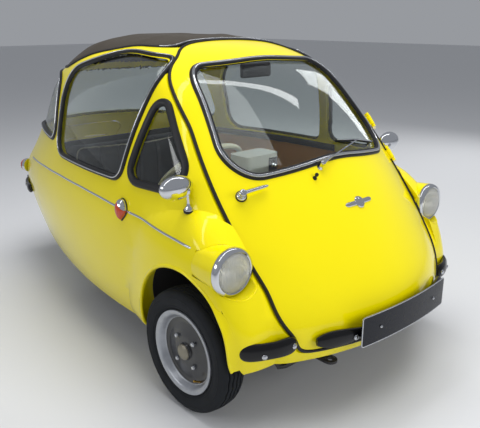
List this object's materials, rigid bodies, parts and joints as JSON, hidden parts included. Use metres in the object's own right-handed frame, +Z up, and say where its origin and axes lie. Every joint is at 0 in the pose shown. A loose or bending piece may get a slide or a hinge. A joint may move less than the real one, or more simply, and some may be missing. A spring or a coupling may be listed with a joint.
{
  "type": "bubble car",
  "caption": "Small three-wheeled bubble car with a front door that holds the windscreen, faired headlamps, a fabric roof and rubber bumpers.",
  "frame": {"origin": "on the ground under the middle of the overall box", "axes": "+X towards the car's left side, +Y towards the tail, +Z up"},
  "size_m": [1.398, 2.575, 1.3189],
  "materials": {
    "yellow_paint": "glossy lemon yellow enamel",
    "window_glass": "clear curved glass and acrylic",
    "roof_fabric": "dark coated fabric, faint weave",
    "dark_paint": "satin underbody paint",
    "tyre_rubber": "matt black rubber",
    "wheel_paint": "gloss black with silver edge",
    "chassis_steel": "black forged steel",
    "engine_alloy": "cast alloy",
    "exhaust_steel": "dull bare steel",
    "seat_vinyl": "dark vinyl with pale piping",
    "bright_trim": "polished chrome plate",
    "bumper_rubber": "glossy black rubber",
    "plate_black": "blank black plate with silver edge",
    "lens_red": "amber red lens",
    "pod_enamel": "grey hammered enamel",
    "cream_plastic": "ivory plastic"
  },
  "bodies": {
    "tub": {"engine_block": "engine_alloy", "exhaust_pipe": "exhaust_steel", "fabric_roof": "roof_fabric", "fender_bumper_left": "bumper_rubber", "fender_bumper_right": "bumper_rubber", "floor_pan": "dark_paint", "headlamp_left": "bright_trim", "headlamp_right": "bright_trim", "hinge_pins": "yellow_paint", "mirrors": "bright_trim", "quarter_window_left": "window_glass", "quarter_window_right": "window_glass", "rear_bulkhead": "dark_paint", "rear_bumpers": "bumper_rubber", "rear_swing_arm": "chassis_steel", "rear_window": "window_glass", "seat_back": "seat_vinyl", "seat_base": "dark_paint", "seat_cushion": "seat_vinyl", "side_indicators": "lens_red", "side_panel_left": "yellow_paint", "side_panel_right": "yellow_paint", "side_window_left": "window_glass", "side_window_right": "window_glass", "steering_column": "pod_enamel", "suspension_arms": "chassis_steel", "tail_lamps": "lens_red", "tail_panel": "yellow_paint", "wheel_houses": "dark_paint"},
    "door": {"door_panel": "yellow_paint", "windscreen": "window_glass", "door_bumper": "bumper_rubber", "number_plate_front": "plate_black", "door_handle": "bright_trim", "windscreen_wiper": "bright_trim"},
    "knuckle_left": {"knuckle_left": "chassis_steel"},
    "knuckle_right": {"knuckle_right": "chassis_steel"},
    "wheel_front_left": {"tyre_front_left": "tyre_rubber", "rim_front_left": "wheel_paint"},
    "wheel_front_right": {"tyre_front_right": "tyre_rubber", "rim_front_right": "wheel_paint"},
    "wheel_rear": {"tyre_rear": "tyre_rubber", "rim_rear": "wheel_paint"},
    "steering": {"steering_wheel": "cream_plastic"},
    "engine_lid": {"engine_lid": "yellow_paint"}
  },
  "joints": [
    {"name": "door_hinge", "type": "hinge", "parent": "tub", "child": "door", "pos_m": [0.53, -0.975, 0.605], "axis": [-0.0571, 0.6212, 0.7815], "range_deg": [0, 68]},
    {"name": "steer_left", "type": "hinge", "parent": "tub", "child": "knuckle_left", "pos_m": [0.59, -0.77, 0.236], "axis": [0, 0, 1], "range_deg": [-26, 26]},
    {"name": "steer_right", "type": "hinge", "parent": "tub", "child": "knuckle_right", "pos_m": [-0.59, -0.77, 0.236], "axis": [0, 0, 1], "range_deg": [-26, 26]},
    {"name": "front_left_spin", "type": "hinge", "parent": "knuckle_left", "child": "wheel_front_left", "pos_m": [0.61, -0.77, 0.236], "axis": [1, 0, 0], "continuous": true},
    {"name": "front_right_spin", "type": "hinge", "parent": "knuckle_right", "child": "wheel_front_right", "pos_m": [-0.61, -0.77, 0.236], "axis": [1, 0, 0], "continuous": true},
    {"name": "rear_spin", "type": "hinge", "parent": "tub", "child": "wheel_rear", "pos_m": [0, 0.985, 0.236], "axis": [1, 0, 0], "continuous": true},
    {"name": "steering_turn", "type": "hinge", "parent": "tub", "child": "steering", "pos_m": [-0.3, -0.45, 0.78], "axis": [0, 0.721, 0.693], "range_deg": [-364, 364]},
    {"name": "engine_lid_hinge", "type": "hinge", "parent": "tub", "child": "engine_lid", "pos_m": [0, 1.04942, 0.784], "axis": [1, 0, 0], "range_deg": [0, 60]}
  ],
  "couplings": [
    {"joint": "steer_right", "follows": "steer_left", "ratio": 1},
    {"joint": "steering_turn", "follows": "steer_left", "ratio": 14}
  ]
}
